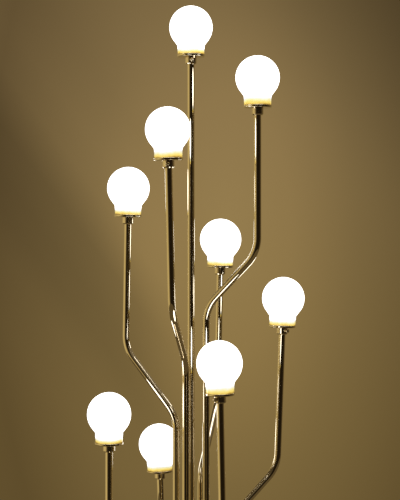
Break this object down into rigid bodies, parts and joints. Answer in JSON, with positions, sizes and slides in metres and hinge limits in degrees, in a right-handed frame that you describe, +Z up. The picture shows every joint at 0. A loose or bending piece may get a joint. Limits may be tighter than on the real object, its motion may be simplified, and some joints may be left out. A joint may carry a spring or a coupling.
{
  "type": "tree floor lamp",
  "caption": "Floor lamp: a bundle of S-bent brass tubes branching from a round weighted base, each ending in a lit opal globe.",
  "frame": {"origin": "centre of the round base, on its underside where it stands on the floor", "axes": "+Z up along the straight centre tube, -Y towards the side the picture is taken from, +X to the right of that view"},
  "size_m": [0.4789, 0.4768, 1.75],
  "materials": {
    "brass_tube": "polished and lacquered drawn tube",
    "brass_turned": "polished turned brass",
    "brass_spun": "polished spun brass",
    "opal_glass": "opal white, satin inside, lit",
    "bulb_glass": "frosted warm white",
    "holder_plastic": "off-white moulded",
    "gasket_rubber": "translucent silicone",
    "steel": "zinc plated",
    "cast_iron": "cast and painted",
    "felt": "black wool felt",
    "board_plastic": "moulded thermoset",
    "lead_insulation": "heat resistant sleeve",
    "gland_plastic": "black nylon"
  },
  "bodies": {
    "root": {"arm_tube_1": "brass_tube", "lamp_collar_1": "brass_turned", "gallery_1": "brass_spun", "glass_shade_1": "opal_glass", "arm_tube_2": "brass_tube", "lamp_collar_2": "brass_turned", "gallery_2": "brass_spun", "glass_shade_2": "opal_glass", "arm_tube_3": "brass_tube", "lamp_collar_3": "brass_turned", "gallery_3": "brass_spun", "glass_shade_3": "opal_glass", "arm_tube_4": "brass_tube", "lamp_collar_4": "brass_turned", "gallery_4": "brass_spun", "glass_shade_4": "opal_glass", "arm_tube_5": "brass_tube", "lamp_collar_5": "brass_turned", "gallery_5": "brass_spun", "glass_shade_5": "opal_glass", "arm_tube_6": "brass_tube", "lamp_collar_6": "brass_turned", "gallery_6": "brass_spun", "glass_shade_6": "opal_glass", "arm_tube_7": "brass_tube", "lamp_collar_7": "brass_turned", "gallery_7": "brass_spun", "glass_shade_7": "opal_glass", "arm_tube_8": "brass_tube", "lamp_collar_8": "brass_turned", "gallery_8": "brass_spun", "glass_shade_8": "opal_glass", "arm_tube_9": "brass_tube", "lamp_collar_9": "brass_turned", "gallery_9": "brass_spun", "glass_shade_9": "opal_glass", "threaded_nipples": "steel", "lamp_sockets": "holder_plastic", "light_bulbs": "bulb_glass", "shade_gaskets": "gasket_rubber", "inner_leads": "lead_insulation", "floor_pad": "felt", "bottom_plate": "steel", "plate_screws": "steel", "terminal_board": "board_plastic", "ballast_disc": "cast_iron", "base_cover": "brass_spun", "cord_gland": "gland_plastic", "trunk_hub": "brass_turned", "hub_bolts": "steel", "tube_set_screws": "steel"},
    "knob_1": {"switch_knob_1": "brass_turned"},
    "knob_2": {"switch_knob_2": "brass_turned"},
    "knob_3": {"switch_knob_3": "brass_turned"},
    "knob_4": {"switch_knob_4": "brass_turned"},
    "knob_5": {"switch_knob_5": "brass_turned"},
    "knob_6": {"switch_knob_6": "brass_turned"},
    "knob_7": {"switch_knob_7": "brass_turned"},
    "knob_8": {"switch_knob_8": "brass_turned"},
    "knob_9": {"switch_knob_9": "brass_turned"}
  },
  "joints": [
    {"name": "switch_1_turn", "type": "hinge", "parent": "root", "child": "knob_1", "pos_m": [0.00134, -0.01273, 1.6303], "axis": [0.1045, -0.9945, 0], "range_deg": [0, 90]},
    {"name": "switch_2_turn", "type": "hinge", "parent": "root", "child": "knob_2", "pos_m": [0.14196, -0.05285, 1.5128], "axis": [-0.1392, 0.9903, 0], "range_deg": [0, 90]},
    {"name": "switch_3_turn", "type": "hinge", "parent": "root", "child": "knob_3", "pos_m": [-0.04708, -0.16156, 1.39529], "axis": [-0.1045, -0.9945, -0.0022], "range_deg": [0, 90]},
    {"name": "switch_4_turn", "type": "hinge", "parent": "root", "child": "knob_4", "pos_m": [-0.14079, 0.07459, 1.27879], "axis": [0.1045, 0.9945, -0.0016], "range_deg": [0, 90]},
    {"name": "switch_5_turn", "type": "hinge", "parent": "root", "child": "knob_5", "pos_m": [0.06939, 0.15682, 1.16275], "axis": [0.2588, 0.9659, -0.0052], "range_deg": [0, 90]},
    {"name": "switch_6_turn", "type": "hinge", "parent": "root", "child": "knob_6", "pos_m": [0.21179, 0.05228, 1.0311], "axis": [0.5589, -0.829, -0.0195], "range_deg": [0, 90]},
    {"name": "switch_7_turn", "type": "hinge", "parent": "root", "child": "knob_7", "pos_m": [0.05429, -0.20123, 0.91118], "axis": [-0.5445, -0.8387, -0.0105], "range_deg": [0, 90]},
    {"name": "switch_8_turn", "type": "hinge", "parent": "root", "child": "knob_8", "pos_m": [-0.17961, -0.03455, 0.78631], "axis": [-0.2079, 0.9781, 0.0004], "range_deg": [0, 90]},
    {"name": "switch_9_turn", "type": "hinge", "parent": "root", "child": "knob_9", "pos_m": [-0.07365, 0.20411, 0.68183], "axis": [0, 1, 0], "range_deg": [0, 90]}
  ]
}
